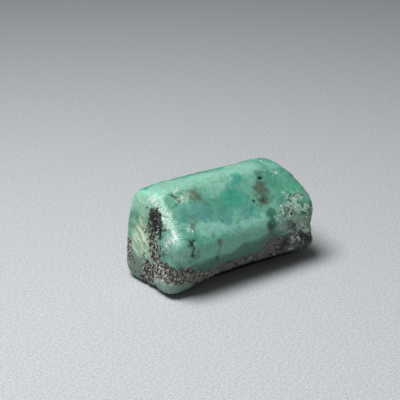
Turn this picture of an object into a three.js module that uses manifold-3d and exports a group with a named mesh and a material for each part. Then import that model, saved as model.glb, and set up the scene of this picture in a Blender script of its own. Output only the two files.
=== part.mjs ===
// A raw emerald crystal: one stubby six-sided prism of beryl, worn round by water and handling, with dark
// mica schist grown into its ends and its underside. It is a single natural solid, so the group holds one mesh.
// Millimetres. +X runs along the crystal towards its chipped end, the face with the best colour looks towards
// -Y, and +Z is up. The origin is the middle of the footprint's box, on the surface that the crystal rests on.
import * as THREE from "three";
import { mergeVertices } from "three/addons/utils/BufferGeometryUtils.js";
import Module from "manifold-3d";

// Driving dimensions
const LENGTH = 23.5; // between the two end faces, before their swells
const HEIGHT = 13.25; // from the resting side to the top
const FRONT = 5.75; // from the heart to the lower front side
const DEPTH = 12; // from the lower front side to the back
const ROLL = 45; // how far round the upper front side faces: 0 is the front and 90 is up
const SIXTH = 60; // beryl's six sides face this far apart
const HEART = new THREE.Vector3(0, 0, 6); // the point inside the crystal that its faces are measured from
const WEAR = 13; // how crisp the edges between faces are: the lower, the rounder
const QUAD = 0.72; // edge of one quad of the skin
const SUNK = 0.25; // the base's depth below the surface that cuts it flat

// The crystal's faces: the six sides that it grew with, the four that wear and breaks have given it, and its
// two ends. turn goes round its length: 0 looks to the front, 90 up and 180 to the back. lean tips the face
// towards the chipped end, so an end face leans almost 90 one way or the other. reach is its distance from the
// heart. Angles are in degrees.
const FACES = {
  lowerFront: { turn: ROLL - SIXTH, lean: 0, reach: FRONT },
  upperFront: { turn: ROLL, lean: 1, reach: 5.5 },
  top: { turn: ROLL + SIXTH, lean: 0, reach: HEIGHT - HEART.z },
  upperBack: { turn: ROLL + 2 * SIXTH, lean: 0, reach: 6.75 },
  lowerBack: { turn: ROLL + 3 * SIXTH, lean: 0, reach: 8.5 },
  sole: { turn: ROLL - 2 * SIXTH, lean: 0, reach: 6.75 },
  wornBase: { turn: -90, lean: 0, reach: HEART.z + SUNK },
  wornFoot: { turn: -40, lean: 0, reach: 7 },
  wornBack: { turn: 180, lean: 0, reach: DEPTH - FRONT },
  brokenTop: { turn: 90, lean: 45, reach: 11.5 },
  wholeEnd: { turn: ROLL, lean: -85, reach: LENGTH / 2 },
  chippedEnd: { turn: 0, lean: 80, reach: LENGTH / 2 },
};

// Broken hollows and swollen lumps. turn and lean give the way to each from the heart, size is how far it
// spreads and rise is how far the skin moves out from the heart there, so that a hollow's rise is negative.
const RELIEF = {
  chipOnTopEdge: { turn: 95, lean: 50, size: 1.5, rise: -1 },
  stepBelowChip: { turn: 65, lean: 60, size: 1.25, rise: -0.5 },
  dentAtChippedEnd: { turn: -5, lean: 65, size: 1.25, rise: -0.5 },
  footAtChippedEnd: { turn: -45, lean: 60, size: 1.5, rise: 0.75 },
  breakInChippedEnd: { turn: 150, lean: 75, size: 2, rise: -0.75 },
  knobOnCorner: { turn: 15, lean: -65, size: 1, rise: 0.5 },
  foldBesideKnob: { turn: 15, lean: -58, size: 0.6, rise: -0.3 },
  toe: { turn: -50, lean: -60, size: 1.25, rise: 0.5 },
  chipAtTopCorner: { turn: 75, lean: -50, size: 1, rise: -0.25 },
  hollowInBack: { turn: 150, lean: 30, size: 2.5, rise: -0.5 },
  swellInBack: { turn: 190, lean: -40, size: 2.5, rise: 0.25 },
};

// The direction that a turn and a lean give, as a unit vector.
function facing({ turn, lean }) {
  const across = Math.cos(THREE.MathUtils.degToRad(lean));
  const along = Math.sin(THREE.MathUtils.degToRad(lean));
  const round = THREE.MathUtils.degToRad(turn);
  return new THREE.Vector3(along, -Math.cos(round) * across, Math.sin(round) * across);
}

const faces = Object.values(FACES).map((face) => ({ normal: facing(face), reach: face.reach }));

// How far the skin is from the heart along a direction. A face alone would stop the ray at reach / cosine,
// and the WEAR-norm of all these stops gives the prism with its edges rubbed round.
function wornReach(direction) {
  let sum = 0;
  for (const { normal, reach } of faces) {
    sum += Math.max(direction.dot(normal) / reach, 0) ** WEAR;
  }
  return sum ** (-1 / WEAR);
}

const relief = Object.values(RELIEF).map((mark) => {
  const way = facing(mark);
  return { at: way.clone().multiplyScalar(wornReach(way)).add(HEART), size: mark.size, rise: mark.rise };
});

// How far the lumps and hollows move a point of the worn prism, each fading out like a bell curve.
function riseAt(point) {
  let rise = 0;
  for (const { at, size, rise: most } of relief) {
    rise += most * Math.exp(-point.distanceToSquared(at) / (2 * size * size));
  }
  return rise;
}

// Leaves a geometry with shared vertices and positions alone, as a closed solid needs.
function welded(geometry) {
  geometry.deleteAttribute("normal");
  geometry.deleteAttribute("uv");
  return mergeVertices(geometry);
}

// The skin is a box of quads wrapped round the heart, with each vertex drawn in or out along its ray.
function wornPrism() {
  const quads = [LENGTH, DEPTH, HEIGHT].map((size) => Math.round(size / QUAD));
  const geometry = welded(new THREE.BoxGeometry(LENGTH, DEPTH, HEIGHT, ...quads));
  const places = geometry.getAttribute("position");
  for (let i = 0; i < places.count; i++) {
    const direction = new THREE.Vector3().fromBufferAttribute(places, i).normalize();
    const point = direction.clone().multiplyScalar(wornReach(direction)).add(HEART);
    point.addScaledVector(direction, riseAt(point));
    places.setXYZ(i, point.x, point.y, point.z);
  }
  return geometry;
}

// Everything below the surface that the crystal rests on.
function groundBlock() {
  const size = 4 * HEART.z;
  return welded(new THREE.BoxGeometry(2 * size, 2 * size, size).translate(0, 0, -size / 2));
}

const wasm = await Module();
wasm.setup();

function toSolid(geometry) {
  const vertProperties = new Float32Array(geometry.getAttribute("position").array);
  const triVerts = new Uint32Array(geometry.index.array);
  return new wasm.Manifold(new wasm.Mesh({ numProp: 3, vertProperties, triVerts }));
}

function toGeometry(solid) {
  const { vertProperties, triVerts } = solid.getMesh();
  const geometry = new THREE.BufferGeometry();
  geometry.setAttribute("position", new THREE.BufferAttribute(new Float32Array(vertProperties), 3));
  geometry.setIndex(new THREE.BufferAttribute(new Uint32Array(triVerts), 1));
  return geometry;
}

// Cloudy bluish-green beryl, satin where it is worn.
const beryl = new THREE.MeshStandardMaterial({ color: 0x5e9c88, roughness: 0.4, metalness: 0 });

// The worn prism with its base cut flat, and the middle of its box brought over the origin.
const crystal = toGeometry(toSolid(wornPrism()).subtract(toSolid(groundBlock())));
crystal.computeBoundingBox();
const middle = crystal.boundingBox.getCenter(new THREE.Vector3());
crystal.translate(-middle.x, -middle.y, 0);
crystal.computeVertexNormals();

const emeraldCrystal = new THREE.Mesh(crystal, beryl);
emeraldCrystal.name = "emerald_crystal";

const group = new THREE.Group();
group.add(emeraldCrystal);
export default group;
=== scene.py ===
import itertools

import bpy
import mathutils
import numpy as np
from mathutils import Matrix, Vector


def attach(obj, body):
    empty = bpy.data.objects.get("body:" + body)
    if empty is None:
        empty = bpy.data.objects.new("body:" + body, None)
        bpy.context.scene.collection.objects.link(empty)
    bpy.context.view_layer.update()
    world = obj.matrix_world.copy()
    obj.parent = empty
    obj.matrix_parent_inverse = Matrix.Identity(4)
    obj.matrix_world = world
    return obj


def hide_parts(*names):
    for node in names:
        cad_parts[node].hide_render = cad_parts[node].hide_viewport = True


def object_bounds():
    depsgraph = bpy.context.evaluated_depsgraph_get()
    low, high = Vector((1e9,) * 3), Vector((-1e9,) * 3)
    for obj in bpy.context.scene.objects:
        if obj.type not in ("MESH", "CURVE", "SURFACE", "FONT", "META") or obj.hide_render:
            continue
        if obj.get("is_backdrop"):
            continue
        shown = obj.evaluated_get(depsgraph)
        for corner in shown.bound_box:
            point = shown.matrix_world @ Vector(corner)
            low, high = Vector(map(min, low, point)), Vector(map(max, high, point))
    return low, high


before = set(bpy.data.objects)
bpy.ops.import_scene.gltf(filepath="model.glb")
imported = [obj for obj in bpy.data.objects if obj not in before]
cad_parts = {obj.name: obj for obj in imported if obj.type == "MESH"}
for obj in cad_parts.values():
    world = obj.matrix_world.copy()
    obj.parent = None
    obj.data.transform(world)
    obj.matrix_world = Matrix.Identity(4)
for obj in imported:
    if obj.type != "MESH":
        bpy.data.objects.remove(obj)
cad_low, cad_high = (np.array(corner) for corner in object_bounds())
MM = 0.001


# -----------------------------------------------------------------------------------------------------------
# The crystal. One stubby six-sided prism of beryl that grew in mica schist, then was broken out, tumbled by
# water and handled until its edges went round. It lies on one long side. Its sizes are in millimetres.
# -----------------------------------------------------------------------------------------------------------
LENGTH, HEIGHT, DEPTH = 23.5, 13.25, 12.0
FRONT = 5.75  # from the heart to the lower front side
ROLL = 45  # how far round the upper front side faces: 0 is the front and 90 is up
SIXTH = 60  # beryl's six sides face this far apart
HEART = np.array([0.0, 0.0, 6.0])
WEAR = 11  # how crisp the edges between the sides are
SUNK = 0.25  # the base's depth below the surface that cuts it flat

# turn goes round the length: 0 is the front, 90 up and 180 the back. lean tips a face towards the chipped
# end. The third number is how far the face stands from the heart.
FACES = {
    "lower front": (ROLL - SIXTH, 0, FRONT),
    "upper front": (ROLL, 1, 5.5),
    "top": (ROLL + SIXTH, 0, HEIGHT - HEART[2]),
    "upper back": (ROLL + 2 * SIXTH, 0, 6.75),
    "lower back": (ROLL + 3 * SIXTH, 0, 8.5),
    "sole": (ROLL - 2 * SIXTH, 0, 6.75),
    "worn base": (-90, 0, HEART[2] + SUNK),
    "worn foot": (-40, 0, 7.0),
    "worn back": (180, 0, DEPTH - FRONT),
    "broken top": (90, 45, 11.5),
    "whole end": (ROLL, -85, LENGTH / 2),
    "chipped end": (0, 80, LENGTH / 2),
}

# The way from the heart to a lump or hollow, as turn and lean; how far it spreads; how far it lifts the skin.
RELIEF = {
    "chip on the top edge": (95, 50, 1.5, -1.0),
    "step below the chip": (65, 60, 1.25, -0.5),
    "dent at the chipped end": (-5, 65, 1.25, -0.5),
    "foot at the chipped end": (-45, 60, 1.5, 0.75),
    "break in the chipped end": (150, 75, 2.0, -0.75),
    "knob on the corner": (15, -65, 1.0, 0.5),
    "fold beside the knob": (15, -58, 0.6, -0.3),
    "toe": (-50, -60, 1.25, 0.5),
    "chip at the top corner": (75, -50, 1.0, -0.25),
    "hollow in the back": (150, 30, 2.5, -0.5),
    "swell in the back": (190, -40, 2.5, 0.25),
}
HALF_BOX = np.array([12.0, 6.2, 6.7])  # of the box of quads that is wrapped round the heart
QUADS = np.array([188, 96, 100])  # along each of the box's edges


def wrapping_box(quads):
    """Six grids that close a box round the middle. On each, two of the three lattice numbers run over the
    grid and the third stays at one end. Grid points with the same three numbers are one vertex. Gives the
    directions of the vertices from the middle, and the quads, all seen anticlockwise from outside."""
    lattice, faces, count = [], [], 0
    for axis, end in itertools.product(range(3), (0, 1)):
        across, up = (axis + 1) % 3, (axis + 2) % 3
        u, v = np.meshgrid(np.arange(quads[across] + 1), np.arange(quads[up] + 1), indexing="ij")
        points = np.empty((*u.shape, 3), int)
        points[..., axis], points[..., across], points[..., up] = end * quads[axis], u, v
        index = np.arange(u.size).reshape(u.shape) + count
        here, beyond = index[:-1], index[1:]
        corners = np.stack([here[:, :-1], beyond[:, :-1], beyond[:, 1:], here[:, 1:]], axis=-1).reshape(-1, 4)
        faces.append(corners if end else corners[:, ::-1])
        lattice.append(points.reshape(-1, 3))
        count += u.size
    lattice, same = np.unique(np.concatenate(lattice), axis=0, return_inverse=True)
    places = (2 * lattice / quads - 1) * HALF_BOX
    return places / np.linalg.norm(places, axis=1)[:, None], same.ravel()[np.concatenate(faces)]


def facing(turn, lean):
    """The unit normal of a face: lean carries it towards +X, and turn carries the rest from -Y up over +Z."""
    turn, lean = np.radians((turn, lean))
    return np.array([np.sin(lean), -np.cos(turn) * np.cos(lean), np.sin(turn) * np.cos(lean)])


def prism(rays):
    """Each face alone stops a ray from the heart at reach / cosine. The WEAR-norm of all those stops is the
    prism with its edges rubbed round."""
    stops = np.zeros(len(rays))
    for turn, lean, reach in FACES.values():
        stops += (np.maximum(rays @ facing(turn, lean), 0) / reach) ** WEAR
    return HEART + rays * stops[:, None] ** (-1 / WEAR)


def worn_prism(rays):
    """The prism, with each lump or hollow moving the skin along its ray by a bell curve of the distance."""
    places = prism(rays)
    lift = np.zeros(len(rays))
    for turn, lean, size, rise in RELIEF.values():
        at = prism(facing(turn, lean)[None])
        lift += rise * np.exp(-((places - at) ** 2).sum(1) / (2 * size**2))
    return places + rays * lift[:, None]


rays, skin_faces = wrapping_box(QUADS)
skin = worn_prism(rays)
skin[:, 2] = np.maximum(skin[:, 2], 0)
skin[:, :2] -= ((skin.min(0) + skin.max(0)) / 2)[:2]
x, y, z = skin.T


# -----------------------------------------------------------------------------------------------------------
# The stone's zones. Beryl and schist aren't sorted neatly: the schist skins the underside and the chipped
# end's foot, a seam of mica runs down the whole end, and the beryl is milky, teal, brown and bruised
# in patches.
# -----------------------------------------------------------------------------------------------------------
CUBES = 31  # of the noise lattice, along each axis, before it repeats
SHIFT = 500  # cubes, so that no cube has a negative number


def unevenness(places, size, seed):
    """Smooth noise from -1 to 1: a random value on each corner of a cubic lattice of the given size, mixed
    inside each cube by the smoothstep of the place in it."""
    values = np.random.default_rng(seed).uniform(-1, 1, (CUBES, CUBES, CUBES))
    cell = places / size + SHIFT
    corner = np.floor(cell).astype(int)
    part = cell - corner
    part = part * part * (3 - 2 * part)
    total = np.zeros(len(places))
    for step in itertools.product((0, 1), repeat=3):
        weight = np.prod(np.where(step, part, 1 - part), axis=1)
        total += weight * values[tuple(((corner + step) % CUBES).T)]
    return total


def cloudiness(places, size, seed, octaves=3):
    """Unevenness in octaves, each half as large and six tenths as strong as the one before."""
    strengths = 0.6 ** np.arange(octaves)
    layers = [part * unevenness(places, size / 2**k, seed + k) for k, part in enumerate(strengths)]
    return sum(layers) / strengths.sum()


def scoops(places, size, seed):
    """Shell-shaped chips: the squared distance to the nearest of many points, one set at random in each cube
    of a lattice of the given size. Each chip is a bowl, and the bowls meet in ridges. 0 in a bowl's middle,
    about 1 on a ridge."""
    jitters = np.random.default_rng(seed).uniform(0, 1, (CUBES, CUBES, CUBES, 3))
    cell = places / size + SHIFT
    corner = np.floor(cell).astype(int)
    nearest = np.full(len(places), np.inf)
    for step in itertools.product((-1, 0, 1), repeat=3):
        cube = corner + step
        away = cube + jitters[tuple((cube % CUBES).T)] - cell
        nearest = np.minimum(nearest, (away**2).sum(1))
    return nearest


def ramp(value, low, high):
    """0 at low and 1 at high, along a smoothstep between them. low may be the larger."""
    part = np.clip((value - low) / (high - low), 0, 1)
    return part * part * (3 - 2 * part)


def nearest_to(flat, wanted, half):
    """The skin's vertex in one half whose two flat coordinates come nearest to the wanted pair."""
    away = ((skin[:, flat] - wanted) ** 2).sum(1)
    return skin[np.argmin(np.where(half, away, np.inf))]


def front(along, up):
    """The place on the front that lies this far along the crystal and this high."""
    return nearest_to([0, 2], (along, up), y < -0.5)


def end(back, up):
    """The place on the whole end that lies this far back from the middle and this high."""
    return nearest_to([1, 2], (back, up), x < -10)


def waves(size, seed):
    """Cloudiness along each of the three axes: how far clouds that wide push a place sideways."""
    return np.stack([cloudiness(skin, size, seed + 10 * axis) for axis in range(3)], axis=1)


# Every zone is looked up at places pushed about by waves of three widths, so that none has a plain outline.
bent = skin + 1.1 * waves(2.6, 201) + 0.55 * waves(0.9, 301) + 0.2 * waves(0.35, 401)


def patch(at, *size):
    """A soft cloud round a place: the bell curve of the bent distance, each axis in its own size."""
    return np.exp(-(((bent - at) / np.array(size)) ** 2).sum(1))


def vein(path, width):
    """A soft streak along a path: the bell curve of the bent distance to its nearest straight stretch."""
    path = np.array(path, float)
    away = np.full(len(skin), np.inf)
    for start, stop in zip(path[:-1], path[1:]):
        along = np.clip((bent - start) @ (stop - start) / ((stop - start) @ (stop - start)), 0, 1)
        away = np.minimum(away, np.linalg.norm(bent - start - along[:, None] * (stop - start), axis=1))
    return np.exp(-((away / width) ** 2))


def any_of(*parts):
    """The strongest of several zones at each place."""
    return np.maximum.reduce(parts)


on_front = ramp(y, 1.0, -3.0)
on_whole_end = ramp(x, -10.5, -11.5)

# Schist: how high it reaches up the front along the crystal, then the toe of beryl under it, the seam down
# the whole end with its cluster of black mica, the seam's foot, and the grains on the end's far rim.
EDGE_ALONG = (-13, -10.5, -9, -8, -4, 0.5, 2, 3.5, 4.5, 7.5, 10, 13)
EDGE_UP = (4.5, 4.5, 3.5, 3, 3.5, 3.5, 4.5, 5.5, 5, 5, 4, 4)
edge = np.interp(bent[:, 0], EDGE_ALONG, EDGE_UP) + 0.3 * cloudiness(skin, 0.7, 11, 4)
underside = ramp(z, edge + 0.3, edge - 0.3) * ramp(y, 1.0, -2.0)
back_foot = ramp(z + 1.2 * cloudiness(skin, 3.0, 12, 4), 2.6, 2.0) * ramp(y, -1.0, 1.0) * (1 - on_whole_end)
toe = any_of(
    patch(end(-2.5, 1), 1.5, 1.75, 1.25), patch(end(-4, 1), 1.5, 1.5, 1.75),
    patch(front(-10, 1), 2.0, 1.5, 1.5),
)
toe = ramp(toe, 0.3, 0.6)
seam = vein([end(0, 8), end(-0.5, 6.5), end(-1, 5), end(-1.5, 4), end(-2, 2.5)], 1.2)
cluster = any_of(vein([end(-1, 10), end(-1, 8.5)], 0.75), patch(end(-0.5, 9), 1.0, 1.25, 1.0))
pale_heart = patch(end(-1, 9.5), 0.5, 0.5, 0.5)
seam_foot = any_of(vein([end(0.5, 3), end(-2, 3.5), end(-4, 3.5)], 1.0), vein([end(0, 2.5), end(1, 1)], 1.5))
rim_grains = vein([end(4.5, 5), end(5, 4), end(5, 3), end(4.5, 2.5)], 0.7)
band = vein([front(-11.5, 3.5), front(-10, 3.5), front(-8.5, 2.5), front(-6, 2)], 1.0)
crushed = any_of(
    vein([front(7.5, 6), front(8.5, 5.5), front(8.5, 5), front(9.5, 4.5)], 0.5),
    vein([front(7, 4.5), front(7, 3.5)], 0.5), patch(front(6.5, 2), 0.5, 0.5, 0.4),
)
schist = any_of(
    underside * (1 - 0.9 * crushed), back_foot, 0.7 * seam, cluster, seam_foot, 0.8 * rim_grains, band,
)
schist = schist * (1 - toe)

# The chipped end: beryl broken up by mica, with patches of clean green left in it and black ones in its foot.
# The front's foot is blackened too, which is painted shade where the stone meets the floor.
clean = any_of(
    patch(front(8.5, 8.5), 0.6, 0.6, 0.4), patch(front(7.5, 7.5), 0.6, 0.6, 0.5),
    patch(front(8.5, 7), 0.5, 0.6, 0.4), patch(front(5, 7), 0.4, 0.5, 0.4),
)
broken = ramp(x + 1.1 * cloudiness(skin, 2.5, 26, 4), 9.5, 11.0)
speckled = any_of(
    patch(front(7, 7), 2.75, 2.75, 2.75), patch(front(9, 6), 2.0, 2.0, 2.5),
    patch(front(8, 9), 1.5, 1.5, 1.0), 0.8 * broken,
)
speckled = speckled * (1 - 0.7 * clean) * (1 - schist)
# Painted shade: the foot of the front turns black where the stone meets the floor.
foot_painted_shade = ramp(z + 0.3 * cloudiness(skin, 0.8, 81), 1.0, 0.4) * ramp(y, 0.0, -1.5) * ramp(x, -8.5, -6.5)
black_mica_and_painted_shade = any_of(
    foot_painted_shade, patch(front(8, 4), 1.25, 1.0, 1.25), patch(front(9.5, 3), 1.25, 1.5, 1.25),
    patch(front(5.5, 3.5), 0.75, 1.0, 0.75), patch(end(0.5, 8.5), 0.7, 0.7, 0.7),
    patch(end(-1.5, 10), 0.6, 0.6, 0.7), patch(end(-2, 9), 0.6, 0.6, 0.7),
)

# White bruises where the beryl has been crushed, and painted glints: white marks on the chipped corners and
# the top edge that stand in for light they catch.
frost_and_painted_glints = any_of(
    vein([end(0.5, 12), end(-0.5, 11.5), end(-1.5, 11), end(-2.5, 10), end(-3.5, 9.5), end(-4.5, 8.5)], 1.0),
    patch(end(-5, 8.5), 0.5, 0.5, 0.5), 0.8 * patch(end(-0.5, 11), 1.0, 1.25, 1.0),
    0.85 * patch(end(-3.5, 7.5), 1.25, 1.25, 2.0), 0.6 * patch(end(-4, 5.5), 1.0, 1.0, 1.0),
    0.7 * vein([front(-10, 9.5), front(-9, 9.5)], 0.5),
    0.7 * patch(front(-10.5, 9), 0.3, 0.3, 0.3),
    0.8 * vein([front(7, 10.5), front(7, 9.5), front(6.5, 9), front(6.5, 8.5)], 0.25),
    0.8 * vein([front(4.5, 8.5), front(4.5, 8)], 0.3),
    0.9 * vein([front(3.5, 8), front(4, 7.5), front(4, 6.5)], 0.5),
    0.9 * vein([front(5.5, 13), front(7, 12.5), front(7.5, 12)], 0.4),
    crushed,
    0.7 * vein([front(-8.5, 13), front(-7.5, 13)], 0.4),
    0.8 * patch(front(-9.5, 12), 0.4, 0.4, 0.3),
    0.8 * vein([front(-9, 11.5), front(-8, 11.5)], 0.3),
    0.8 * vein([end(2, 6), end(0.5, 4.5)], 0.3),
    0.7 * vein([end(3.5, 6.5), end(3, 6)], 0.4),
    0.5 * vein([end(4, 8.5), end(3.5, 8)], 0.5),
    0.5 * patch(end(2.5, 12.5), 0.5, 0.75, 0.5),
    0.7 * vein([end(5, 4), end(5, 3)], 0.4),
    0.45 * speckled,
)

# The beryl's own clouds, with painted light and shade among them: light on the top, the knob and the front's
# ridge, shade on the lower front and in the fold.
upper_end = ramp(z + 0.8 * cloudiness(skin, 1.6, 40), 8.5, 11.0) * on_whole_end
upper_end = any_of(upper_end, patch(front(-11.5, 7), 1.0, 1.25, 1.75))
glassy = any_of(patch(end(2, 5.5), 1.5, 2.0, 2.25), patch(end(2, 7.5), 1.5, 1.5, 1.5))
shaded_end = patch(end(2.5, 2), 1.5, 3.5, 1.75)
# Painted shade: the front grows darker towards its foot, whose lower side turns away from the light above.
# The streak near the chipped end is the beryl's own dark green.
deep_green_painted_shade = ramp(z - 0.15 * x + 0.9 * cloudiness(skin, 1.8, 42), 6.5, 4.5) * on_front * (1 - on_whole_end)
deep_green_painted_shade = any_of(deep_green_painted_shade, 0.9 * vein([front(3.5, 8.5), front(2.5, 7.5), front(2.5, 6)], 0.6))
teal = any_of(
    patch(front(-1, 11), 1.75, 1.5, 1.0), patch(front(0, 12.5), 0.75, 0.75, 0.75),
    patch(front(-1.5, 11.5), 1.0, 1.0, 0.75), vein([front(0.5, 10), front(0, 9), front(-0.5, 8.5)], 0.5),
)
blue = any_of(
    patch(front(-6.5, 10.5), 1.5, 1.5, 1.25), patch(front(-0.5, 9.5), 1.25, 1.0, 0.75),
    patch(front(-9, 10.5), 0.75, 0.75, 0.75), 0.7 * patch(front(-4, 9.5), 1.5, 1.0, 1.0),
    0.7 * patch(front(1, 9.5), 0.75, 0.75, 0.75),
)
milky = any_of(
    vein([front(-7.5, 9), front(-6, 8.5), front(-3, 8), front(0.5, 7.5), front(1.5, 7.5)], 1.0),
    patch(front(-11.5, 7.5), 0.75, 1.0, 1.5), 0.7 * patch(front(1.5, 8.5), 0.75, 0.75, 0.75),
)
# Painted light: a paler strip along the ridge of the front, standing in for light that comes through the
# beryl there.
ridge_painted_glow = vein([front(-8, 6.5), front(-3, 6), front(0, 6)], 1.25)
# Painted light: paler mint along the top and on the knob, where the light from above falls most.
mint_painted_light = any_of(
    patch(front(-11.5, 7), 0.75, 0.75, 1.25), patch(front(3.5, 13), 1.0, 0.75, 0.5),
    vein([front(-5.5, 13), front(-3, 12.5), front(-2, 12.5)], 0.75),
    0.7 * ramp(z + 0.5 * cloudiness(skin, 2.0, 56), 12.3, 13.1),
)
brown = any_of(
    patch(front(3.5, 11), 1.25, 1.0, 1.0), patch(front(3, 10), 1.0, 1.0, 0.75),
    0.9 * patch(front(-6.5, 12), 1.25, 1.0, 0.75), 0.6 * vein([front(-8, 10.5), front(-8.5, 9.5)], 0.4),
    0.6 * patch(front(-6, 7), 0.5, 0.5, 0.5), 0.5 * patch(front(4, 12.5), 0.75, 0.75, 0.5),
)
smooth_green = patch(front(8, 10.5), 1.5, 1.25, 1.0)
fold = vein([front(-10, 8), front(-10, 7), front(-10.5, 6)], 0.3)
# Dark inclusions in the beryl, and painted shade in the fold beside the knob.
dark_spots_and_fold_shade = any_of(
    patch(front(4.5, 12), 0.5, 0.4, 0.3), patch(front(1.5, 10), 0.3, 0.3, 0.2),
    patch(front(-10, 8), 0.3, 0.3, 0.3),
    0.7 * patch(front(-6, 5.5), 0.4, 0.5, 1.0), 0.6 * vein([front(-9.5, 13), front(-9, 12)], 0.4),
    0.6 * patch(front(3, 10), 0.5, 0.5, 0.4), 0.5 * patch(front(2.5, 7), 0.4, 0.5, 0.5),
    0.6 * fold, 0.4 * patch(front(-7, 11.5), 0.4, 0.4, 0.5), 0.5 * patch(front(-0.5, 13), 0.3, 0.3, 0.3),
)
cracks = any_of(
    vein([front(-5, 13), front(-4.5, 11.5)], 0.08), vein([front(-2, 11), front(-2.5, 9.5)], 0.06),
    vein([front(0.5, 10), front(0, 9)], 0.08), vein([front(6, 12), front(5.5, 10)], 0.08),
)

# The back is the same stone: teal and milky clouds, bruises, rusty brown stains and a few islands of schist.
behind = ramp(y, 0.5, 3.0) * (1 - on_whole_end)
teal = any_of(teal, behind * ramp(cloudiness(bent, 2.6, 91), 0.1, 0.45))
milky = any_of(milky, behind * ramp(cloudiness(bent, 3.0, 92), 0.1, 0.45))
brown = any_of(brown, behind * ramp(cloudiness(bent, 1.7, 93), 0.25, 0.5))
frost_and_painted_glints = any_of(frost_and_painted_glints, 0.9 * behind * ramp(cloudiness(bent, 1.2, 94), 0.3, 0.55))
speckled = any_of(speckled, behind * ramp(cloudiness(bent, 2.4, 95), 0.3, 0.5) * (1 - schist))
dark_spots_and_fold_shade = any_of(dark_spots_and_fold_shade, behind * ramp(cloudiness(bent, 0.7, 96), 0.5, 0.65))

# The schist weathers faster than the beryl, so it lies lower, and its flakes leave it rough. Broken beryl is
# all shell-shaped scoops. Whole beryl keeps a slow waviness from wear and a faint grain along the prism. The
# foot of the front has weathered back under the stone, past the toe.
corner_chip = any_of(patch(front(-8, 12), 1.25, 1.25, 0.75), patch(front(-9, 12.5), 0.75, 1.0, 0.75))
raw = any_of(speckled, broken, corner_chip)
undercut = ramp(z, 2.0, 0.3) * ramp(y, -1.0, -3.5) * ramp(x, -8.0, -5.0)
below_chip = patch(front(8, 11.5), 2.5, 2.5, 1.5)
waviness = 0.09 * cloudiness(skin, 3.5, 71) + 0.05 * cloudiness(skin, 1.3, 72)
growth_lines = 0.012 * unevenness(skin * (0.12, 1, 1), 0.3, 73)
weathered = schist * (0.14 * cloudiness(skin, 0.6, 74) - 0.25)
bowls = raw * (0.22 * scoops(skin, 1.9, 78) + 0.12 * scoops(skin, 0.8, 79) - 0.2)
crumbs = 0.16 * frost_and_painted_glints * cloudiness(skin, 0.35, 75)
pits = 0.16 * dark_spots_and_fold_shade + 0.3 * fold + 0.06 * cracks + 0.45 * below_chip + 0.8 * undercut
lift = waviness + growth_lines + weathered + bowls + crumbs + 0.08 * toe - pits - 0.02
lift = lift * ramp(z, 0.02, 0.5)  # the resting side stays flat
inside_low, inside_high = cad_low / MM + (0.03, 0.03, 0), cad_high / MM - 0.03
skin = np.clip(skin + rays * lift[:, None], inside_low, inside_high)


def grown(name, places, faces, zones):
    """A mesh of the given places, in millimetres, with each zone kept as a number on every vertex."""
    mesh = bpy.data.meshes.new(name)
    mesh.from_pydata((places * MM).tolist(), [], faces)
    for zone, strength in zones.items():
        mesh.attributes.new(zone, "FLOAT", "POINT").data.foreach_set("value", strength.astype(np.float32))
    mesh.update()
    piece = bpy.data.objects.new(name, mesh)
    bpy.context.scene.collection.objects.link(piece)
    return piece


crystal = grown("emerald_crystal_skin", skin, skin_faces.tolist(), {
    "schist": schist, "speckled": speckled, "frost_and_painted_glints": frost_and_painted_glints, "glassy": glassy, "deep_green_painted_shade": deep_green_painted_shade, "teal": teal,
    "blue": blue, "milky": milky, "mint_painted_light": mint_painted_light, "brown": brown, "dark_spots_and_fold_shade": dark_spots_and_fold_shade, "toe": toe,
    "upper_end": upper_end, "shaded_end": shaded_end, "smooth_green": smooth_green, "cracks": cracks,
    "ridge_painted_glow": ridge_painted_glow, "seam": seam * (1 - cluster), "crushed": crushed, "pale_heart": pale_heart,
    "corner_chip": corner_chip, "black_mica_and_painted_shade": black_mica_and_painted_shade, "underside": underside * ramp(x, -7.5, -5.0),
})
crystal.data.polygons.foreach_set("use_smooth", np.ones(len(skin_faces), bool))


def pigment(code):
    """The linear colour of a six-digit screen colour code."""
    parts = np.array([int(code[i:i + 2], 16) / 255 for i in (0, 2, 4)])
    linear = np.where(parts <= 0.04045, parts / 12.92, ((parts + 0.055) / 1.055) ** 2.4)
    return (*linear, 1.0)


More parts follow.
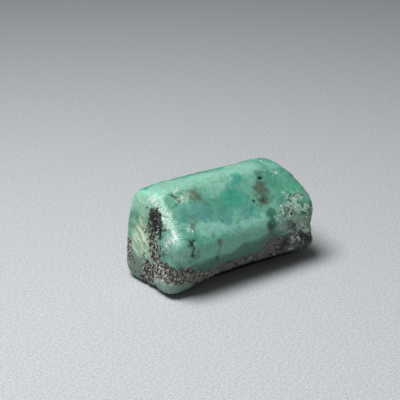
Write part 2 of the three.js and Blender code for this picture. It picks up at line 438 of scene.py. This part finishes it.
class Finish:
    """A material being built: each method adds one node and gives its main output."""

    def __init__(self, name):
        self.material = bpy.data.materials.new(name)
        self.material.use_nodes = True
        self.tree = self.material.node_tree
        self.shader = self.tree.nodes["Principled BSDF"]
        self.place = self.node("ShaderNodeTexCoord").outputs["Object"]

    def fill(self, socket, value):
        """Link another node's output to a socket, or set a plain value on it."""
        if isinstance(value, bpy.types.NodeSocket):
            self.tree.links.new(value, socket)
        else:
            socket.default_value = value

    def node(self, kind, values=None, **settings):
        """Add a node with its settings, and fill its inputs."""
        made = self.tree.nodes.new(kind)
        for key, value in settings.items():
            setattr(made, key, value)
        for key, value in (values or {}).items():
            self.fill(made.inputs[key], value)
        return made

    def zone(self, name):
        """One of the numbers kept on the mesh."""
        return self.node("ShaderNodeAttribute", attribute_name=name).outputs["Fac"]

    def noise(self, size, detail=3, rough=0.55, warp=0.0, place=None):
        """Noise whose features are about size millimetres across."""
        values = {"Vector": place or self.place, "Scale": 1 / (size * MM)}
        values |= {"Detail": detail, "Roughness": rough, "Distortion": warp}
        return self.node("ShaderNodeTexNoise", values).outputs["Fac"]

    def cells(self, size):
        """A random number for each grain, the grains being about size millimetres across."""
        values = {"Vector": self.place, "Scale": 1 / (size * MM)}
        colour = self.node("ShaderNodeTexVoronoi", values).outputs["Color"]
        return self.node("ShaderNodeSeparateColor", {"Color": colour}).outputs[0]

    def math(self, how, a, b=0.5, c=0.0):
        """One sum on two or three numbers."""
        return self.node("ShaderNodeMath", {0: a, 1: b, 2: c}, operation=how).outputs[0]

    def between(self, value, low, high, to_low=0.0, to_high=1.0):
        """A smoothstep that is to_low where the value is low, and to_high where it is high."""
        values = {"Value": value, "From Min": low, "From Max": high, "To Min": to_low, "To Max": to_high}
        return self.node("ShaderNodeMapRange", values, interpolation_type="SMOOTHSTEP").outputs[0]

    def torn(self, name, noise, depth=0.6, low=0.3, high=0.8):
        """A zone with its rim torn by noise: the zone plus depth times the noise's swing round its middle."""
        swing = self.math("MULTIPLY_ADD", noise, depth, -depth / 2)
        return self.between(self.math("ADD", self.zone(name), swing), low, high)

    def mix(self, amount, a, b, how="MIX"):
        """Colour a, turned by the amount into colour b."""
        made = self.node("ShaderNodeMix", data_type="RGBA", blend_type=how)
        for socket, value in zip((made.inputs[0], made.inputs[6], made.inputs[7]), (amount, a, b)):
            self.fill(socket, value)
        return made.outputs[2]

    def set(self, **values):
        """Fill the shader's own inputs."""
        for key, value in values.items():
            self.fill(self.shader.inputs[key.replace("_", " ")], value)


beryl = Finish("cloudy_beryl")
cloud, wisp = beryl.noise(2.2, 6, 0.62, 1.0), beryl.noise(0.7, 5, 0.7, 0.8)
fleck, dust = beryl.noise(0.22, 4, 0.75, 0.5), beryl.noise(0.09, 2, 0.7)
colour = beryl.mix(beryl.between(cloud, 0.35, 0.65), pigment("4a8b76"), pigment("6ba692"))
# Tints. The mint and the ridge tints are painted light, the deep tint is partly painted shade on the lower
# front, and the dark spots hold painted shade in the fold.
for zone, tint, amount in (
    ("upper_end", "8cc0a8", 0.85), ("mint_painted_light", "7cae9b", 0.9), ("teal", "3a937e", 0.9), ("blue", "508a84", 0.8),
    ("milky", "7db3a4", 0.9), ("ridge_painted_glow", "74bda3", 0.85), ("deep_green_painted_shade", "2b6450", 0.9), ("brown", "4f6150", 0.95),
    ("glassy", "9dbb9a", 0.95), ("shaded_end", "67776c", 0.9), ("smooth_green", "4f9578", 0.9),
    ("toe", "788e83", 0.9), ("corner_chip", "82a892", 0.85), ("dark_spots_and_fold_shade", "17302a", 1.0),
):
    tinted = beryl.math("MULTIPLY", beryl.torn(zone, wisp, 0.8, 0.05, 0.65), amount)
    colour = beryl.mix(tinted, colour, pigment(tint))
mottling = beryl.math("MULTIPLY_ADD", fleck, 0.4, beryl.math("MULTIPLY", wisp, 0.6))
shade = beryl.between(mottling, 0.32, 0.68, 0.78, 1.26)
grey = beryl.node("ShaderNodeCombineColor", {0: shade, 1: shade, 2: shade}).outputs[0]
colour = beryl.mix(1.0, colour, grey, "MULTIPLY")
colour = beryl.mix(beryl.math("MULTIPLY", beryl.zone("cracks"), 0.5), colour, pigment("2f6a55"))

# Streaks of crushed, glassy beryl run aslant down the whole end.
aslant = {"Vector": beryl.place, "Rotation": (np.radians(-50), 0, 0), "Scale": (1, 1, 3.5)}
aslant = beryl.node("ShaderNodeMapping", aslant, vector_type="TEXTURE").outputs[0]
streak = beryl.noise(0.55, 4, 0.6, 0.5, aslant)
streaky = beryl.math("MULTIPLY", beryl.between(streak, 0.51, 0.6), beryl.torn("glassy", wisp, 0.6, 0.2, 0.8))
colour = beryl.mix(beryl.math("MULTIPLY", streaky, 0.85), colour, pigment("dfe9d2"))
pale = beryl.math("MULTIPLY", beryl.between(streak, 0.52, 0.68), beryl.torn("upper_end", wisp, 0.9, 0.2, 0.9))
colour = beryl.mix(beryl.math("MULTIPLY", pale, 0.5), colour, pigment("cde6da"))

# Painted glints: pale flecks on the corner chip's fresh faces, standing in for light they catch.
painted_glint = beryl.torn("corner_chip", wisp, 0.6, 0.2, 0.8)
painted_glint = beryl.math("MULTIPLY", beryl.between(wisp, 0.56, 0.64), painted_glint)
colour = beryl.mix(beryl.math("MULTIPLY", painted_glint, 0.9), colour, pigment("d5e4d4"))

# Bruises and painted glints: a pale haze with a cloud of fine white flecks in it, thick in the middle and
# thin at the rim.
haze = beryl.torn("frost_and_painted_glints", wisp, 0.5, 0.15, 1.0)
colour = beryl.mix(beryl.math("MULTIPLY", haze, 0.2), colour, pigment("90b8a6"))
bruise = beryl.math("MULTIPLY_ADD", beryl.zone("frost_and_painted_glints"), 0.3, fleck)
bruise = beryl.between(beryl.math("MULTIPLY_ADD", dust, 0.9, bruise), 1.16, 1.28)
bruise = beryl.math("MULTIPLY", bruise, beryl.between(beryl.zone("frost_and_painted_glints"), 0.05, 0.45))
colour = beryl.mix(beryl.math("MULTIPLY", bruise, 0.9), colour, pigment("e2efe6"))

# Schist: grains of black and brown mica and of pale quartz and feldspar, in two sizes. Under the front it is
# duller and darker, and it is black in places by the chipped end and, as painted shade, along the front's
# foot.
grain, chip = beryl.cells(0.24), beryl.cells(0.12)
mixed = beryl.math("MULTIPLY_ADD", chip, 0.45, beryl.math("MULTIPLY", grain, 0.55))
schist_colour = beryl.mix(beryl.between(mixed, 0.2, 0.55), pigment("1a1917"), pigment("57524b"))
schist_colour = beryl.mix(beryl.between(mixed, 0.6, 0.8), schist_colour, pigment("aba596"))
under_colour = beryl.mix(beryl.between(wisp, 0.3, 0.7), pigment("414644"), pigment("6b706e"))
under_colour = beryl.mix(beryl.between(mixed, 0.7, 0.85, 0.0, 0.7), under_colour, pigment("8f8a85"))
under_amount = beryl.torn("underside", wisp, 0.5, 0.3, 0.8)
schist_colour = beryl.mix(beryl.math("MULTIPLY", under_amount, 0.85), schist_colour, under_colour)
seam_colour = beryl.mix(beryl.between(mixed, 0.35, 0.65), pigment("6c746c"), pigment("c6ccc0"))
seam_amount = beryl.math("MULTIPLY", beryl.zone("seam"), beryl.between(grain, 0.18, 0.32))
schist_colour = beryl.mix(seam_amount, schist_colour, seam_colour)
# Black mica in places, and painted shade along the front's foot.
schist_colour = beryl.mix(beryl.torn("black_mica_and_painted_shade", grain, 0.8, 0.3, 0.6), schist_colour, pigment("121110"))
schist_colour = beryl.mix(beryl.torn("pale_heart", grain, 0.8, 0.4, 0.6), schist_colour, pigment("b3b0aa"))

# The chipped end's beryl: dark green and pale crushed patches side by side, with schist grains among them.
chips = beryl.torn("speckled", wisp, 0.6, 0.1, 0.6)
patchy, web = beryl.noise(1.1, 5, 0.65, 0.5), beryl.noise(0.6, 5, 0.7, 1.2)
shards = beryl.mix(beryl.between(patchy, 0.44, 0.52), pigment("1f4537"), pigment("6a9783"))
near_line = beryl.math("ABSOLUTE", beryl.math("SUBTRACT", web, 0.5))
threads = beryl.math("MULTIPLY", beryl.between(near_line, 0.045, 0.012), beryl.between(patchy, 0.4, 0.5))
shards = beryl.mix(beryl.math("MULTIPLY", threads, 0.85), shards, pigment("bccfc0"))
shards = beryl.mix(beryl.between(fleck, 0.58, 0.66), shards, pigment("dbe6da"))
shards = beryl.mix(beryl.between(fleck, 0.4, 0.34), shards, pigment("18271f"))
colour = beryl.mix(beryl.math("MULTIPLY", chips, 0.92), colour, shards)
speckle = beryl.math("MULTIPLY", beryl.torn("speckled", fleck, 1.2, 0.4, 0.8), beryl.between(grain, 0.5, 0.7))
colour = beryl.mix(beryl.math("MULTIPLY", speckle, 0.3), colour, schist_colour)
colour = beryl.mix(beryl.torn("schist", fleck, 1.3, 0.35, 0.7), colour, schist_colour)
crust = beryl.math("MULTIPLY", beryl.torn("crushed", fleck, 1.6, 0.45, 0.75), 0.9)
colour = beryl.mix(crust, colour, pigment("c3c9b8"))
beryl.set(Base_Color=colour)

# Worn beryl is satin. Crushed beryl and schist are rough, and let no light through.
opened = beryl.math("MAXIMUM", beryl.zone("frost_and_painted_glints"), beryl.zone("speckled"))
opened = beryl.math("MAXIMUM", opened, beryl.math("MAXIMUM", beryl.zone("schist"), beryl.zone("corner_chip")))
satin = beryl.between(wisp, 0.3, 0.7, 0.32, 0.5)
beryl.set(Roughness=beryl.math("MULTIPLY_ADD", opened, 0.3, satin))
beryl.set(Subsurface_Weight=beryl.between(opened, 0.1, 0.6, 0.5, 0.0), Subsurface_Radius=(0.5, 1.0, 0.85),
          Subsurface_Scale=0.9 * MM, IOR=1.57)
height = beryl.math("MULTIPLY_ADD", beryl.zone("schist"), beryl.math("ADD", grain, chip), wisp)
bump = beryl.node("ShaderNodeBump", {"Height": height, "Distance": 0.04 * MM, "Strength": 0.6})
beryl.set(Normal=bump.outputs[0])
crystal.data.materials.append(beryl.material)
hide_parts("emerald_crystal")
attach(crystal, "root")


# -----------------------------------------------------------------------------------------------------------
# The mica and the loose grains. Flat six-sided flakes of black and of silvery mica, and chips of pale quartz
# and crushed beryl, stand out of the schist, the seam and the bruises at a slant. Each kind is one
# joined mesh.
# -----------------------------------------------------------------------------------------------------------
def outward(places, faces):
    """At each vertex, the sum of its quads' normals, each quad's being the product of its diagonals. Gives
    the sum's direction, then its length."""
    across = np.cross(places[faces[:, 2]] - places[faces[:, 0]], places[faces[:, 3]] - places[faces[:, 1]])
    total = np.zeros_like(places)
    np.add.at(total, faces.ravel(), np.repeat(across, 4, axis=0))
    length = np.linalg.norm(total, axis=1)
    return total / np.maximum(length, 1e-12)[:, None], length


normals, areas = outward(skin, skin_faces)
SIDES = 6  # mica splits into six-sided plates


def flakes(name, weight, count, size, tilt, seed):
    """Six-cornered plates set into the skin. Places are drawn by weight squared times area. Each plate's
    axis is the skin's normal plus a random slant, and its corners go round the axis with uneven steps and
    radii. The low ring of corners lies inside the stone and the high ring just outside."""
    rng = np.random.default_rng(seed)
    chance = np.clip(weight, 0, 1) ** 2 * areas * (skin[:, 2] > 0.35) * (1 - 0.9 * undercut)
    picked = rng.choice(len(skin), count, p=chance / chance.sum())
    axis = normals[picked] + tilt * rng.normal(size=(count, 3))
    axis /= np.linalg.norm(axis, axis=1)[:, None]
    side = np.cross(axis, rng.normal(size=(count, 3)))
    side /= np.linalg.norm(side, axis=1)[:, None]
    other = np.cross(axis, side)
    steps = 360 / SIDES * np.arange(SIDES)
    round_by = np.radians(steps + rng.uniform(-18, 18, (count, SIDES)))[..., None]
    radius = size * rng.lognormal(0, 0.35, (count, 1, 1)) * rng.uniform(0.7, 1.15, (count, SIDES, 1))
    spokes = np.cos(round_by) * side[:, None] + np.sin(round_by) * other[:, None]
    ring = skin[picked][:, None] + radius * spokes
    thick = 0.35 * size
    corners = np.concatenate([ring - 0.6 * thick * axis[:, None], ring + 0.4 * thick * axis[:, None]], axis=1)
    corners = np.clip(corners, cad_low / MM + (0.01, 0.01, 0.06), cad_high / MM - 0.01)
    first = 2 * SIDES * np.arange(count)[:, None, None]
    low = np.arange(SIDES)
    following = (low + 1) % SIDES
    lids = first + np.stack([low[::-1], low + SIDES])
    rims = first + np.stack([low, following, following + SIDES, low + SIDES], axis=1)
    faces = lids.reshape(-1, SIDES).tolist() + rims.reshape(-1, 4).tolist()
    tone = np.repeat(rng.uniform(0, 1, count), 2 * SIDES)
    return grown(name, corners.reshape(-1, 3), faces, {"tone": tone})


def flake_finish(name, dark, light, roughness, coat):
    """A mica or quartz finish: each flake has its own tone between dark and light, a little clouded."""
    made = Finish(name)
    tone = made.math("MULTIPLY_ADD", made.noise(0.1, 2), 0.3, made.math("MULTIPLY", made.zone("tone"), 0.8))
    made.set(Base_Color=made.mix(tone, pigment(dark), pigment(light)))
    made.set(Roughness=made.between(tone, 0, 1, roughness, roughness + 0.15))
    made.set(Coat_Weight=coat, Coat_Roughness=0.2)
    return made.material


mica_bed = any_of(
    0.75 * seam, cluster * (1 - 0.8 * pale_heart), 0.8 * seam_foot, 0.8 * rim_grains, 0.65 * band,
)
mica_bed = mica_bed * (1 - toe)
chipped = (0.25 * speckled + 0.6 * underside * ramp(x, 3.0, 5.5)) * (1 - crushed)
black_places = any_of(0.5 * mica_bed, cluster * (1 - pale_heart), 0.3 * chipped, 0.1 * schist)
silver_places = any_of(0.85 * mica_bed - 0.4 * cluster, pale_heart, 0.3 * chipped, 0.1 * schist)
pale_places = any_of(0.6 * frost_and_painted_glints**0.5, 0.3 * speckled, 0.35 * mica_bed)
for name, weight, count, size, tilt, finish, seed in (
    ("black_mica", black_places, 1100, 0.15, 0.3, ("black_flakes", "0b0b0b", "2a2825", 0.3, 0.4), 101),
    ("silver_mica", silver_places, 1400, 0.09, 0.35, ("silver_flakes", "5d5a52", "cbc8bb", 0.3, 0.5), 102),
    ("pale_grains", pale_places, 1500, 0.055, 0.5, ("crushed_grains", "82ab98", "d6e5db", 0.35, 0.3), 103),
):
    piece = flakes(name, weight, count, size, tilt, seed)
    piece.data.materials.append(flake_finish(*finish))
    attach(piece, "root")


# -----------------------------------------------------------------------------------------------------------
# The plain floor, the light and the camera. One broad soft lamp hangs over the stone's left, a weak one
# stands at the front, and a pale room surrounds it all. The camera looks down on the whole end and the front.
# -----------------------------------------------------------------------------------------------------------
bpy.ops.mesh.primitive_plane_add(size=1.2)
floor = bpy.context.object
floor.name = "floor"
paper = Finish("grey_paper")
speck = paper.between(paper.noise(0.3, 3, 0.7), 0.3, 0.7)
paper.set(Base_Color=paper.mix(speck, pigment("9da0a2"), pigment("b9bcbe")), Roughness=0.85)
floor.data.materials.append(paper.material)
floor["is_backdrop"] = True


def lamp(name, place, aim, size, power):
    """A square soft lamp at a place, turned towards its aim, both in millimetres."""
    data = bpy.data.lights.new(name, "AREA")
    data.size, data.energy = size * MM, power
    made = bpy.data.objects.new(name, data)
    made.location = mathutils.Vector(place) * MM
    made.rotation_euler = (mathutils.Vector(place) - mathutils.Vector(aim)).to_track_quat("Z", "Y").to_euler()
    bpy.context.scene.collection.objects.link(made)


lamp("soft_lamp", (-66, 8, 195), (2, -42, 0), 105, 0.63)
lamp("front_fill", (-160, -260, 140), (0, 0, 5), 160, 0.05)
world = bpy.data.worlds.new("room")
world.use_nodes = True
world.node_tree.nodes["Background"].inputs["Color"].default_value = (0.82, 0.86, 0.88, 1)
world.node_tree.nodes["Background"].inputs["Strength"].default_value = 0.1
bpy.context.scene.world = world
bpy.context.scene.view_settings.view_transform = "Standard"

camera_data = bpy.data.cameras.new("camera")
camera_data.lens = 120
camera_data.sensor_width = 36
camera_data.clip_start = 0.01
camera = bpy.data.objects.new("camera", camera_data)
aim = mathutils.Vector((-2.5, 2.5, 9)) * MM
azimuth, elevation, distance = np.radians(-36), np.radians(23), 173 * MM
level = np.cos(elevation)
back = mathutils.Vector((np.sin(azimuth) * level, -np.cos(azimuth) * level, np.sin(elevation)))
camera.location = aim + back * distance
camera.rotation_euler = back.to_track_quat("Z", "Y").to_euler()
bpy.context.scene.collection.objects.link(camera)
bpy.context.scene.camera = camera
